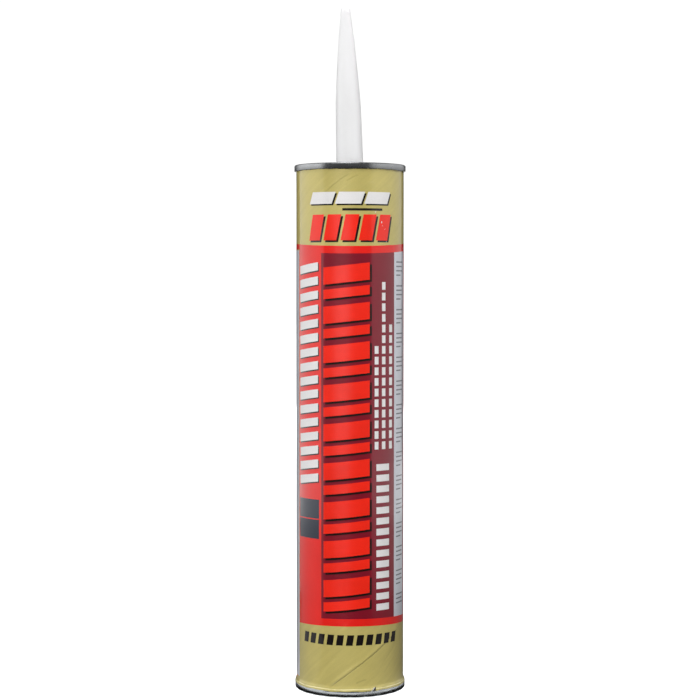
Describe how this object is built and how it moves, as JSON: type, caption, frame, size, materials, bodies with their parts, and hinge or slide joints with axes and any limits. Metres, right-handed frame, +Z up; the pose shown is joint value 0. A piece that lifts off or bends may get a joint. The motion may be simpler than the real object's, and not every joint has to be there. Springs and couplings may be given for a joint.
{
  "type": "construction adhesive cartridge",
  "caption": "Tall fibre tube of adhesive with a seamed metal end, a closed tapering plastic nozzle on top, a metal ring at its open foot and a sliding piston inside.",
  "frame": {"origin": "centre of the bottom ring's foot, on the surface that the cartridge stands on", "axes": "+Z up the tube to the nozzle; the front of the label faces -Y; +X is to the right of the front"},
  "size_m": [0.067, 0.067, 0.411],
  "materials": {
    "fibreboard": "spiral-wound fibreboard, matt",
    "label_gold": "gold-printed label paper, satin varnish",
    "tinplate": "bright tinplate, lightly scuffed",
    "ring_steel": "tin-plated steel, dull",
    "nozzle_plastic": "natural polyethylene, translucent white, satin",
    "seal_foil": "thin foil",
    "piston_plastic": "moulded polyethylene, satin",
    "adhesive_paste": "tan paste",
    "ink_red": "red ink under gloss varnish",
    "ink_maroon": "maroon ink under gloss varnish",
    "ink_scarlet": "bright red ink under gloss varnish",
    "ink_black": "black ink under gloss varnish",
    "ink_white": "white ink under gloss varnish",
    "ink_navy": "navy ink under gloss varnish",
    "ink_pale": "pale grey-white ink under gloss varnish"
  },
  "bodies": {
    "cartridge": {"fibre_tube": "fibreboard", "label": "label_gold", "top_end": "tinplate", "bottom_ring": "ring_steel", "nozzle": "nozzle_plastic", "inner_seal": "seal_foil", "adhesive": "adhesive_paste", "print_red": "ink_red", "print_maroon": "ink_maroon", "print_scarlet": "ink_scarlet", "print_black": "ink_black", "print_white": "ink_white", "print_navy": "ink_navy", "print_back": "ink_pale"},
    "piston": {"piston": "piston_plastic"}
  },
  "joints": [
    {"name": "piston_slide", "type": "slide", "parent": "cartridge", "child": "piston", "axis": [0, 0, 1], "range_m": [0, 0.27], "deforming": ["adhesive"]}
  ]
}
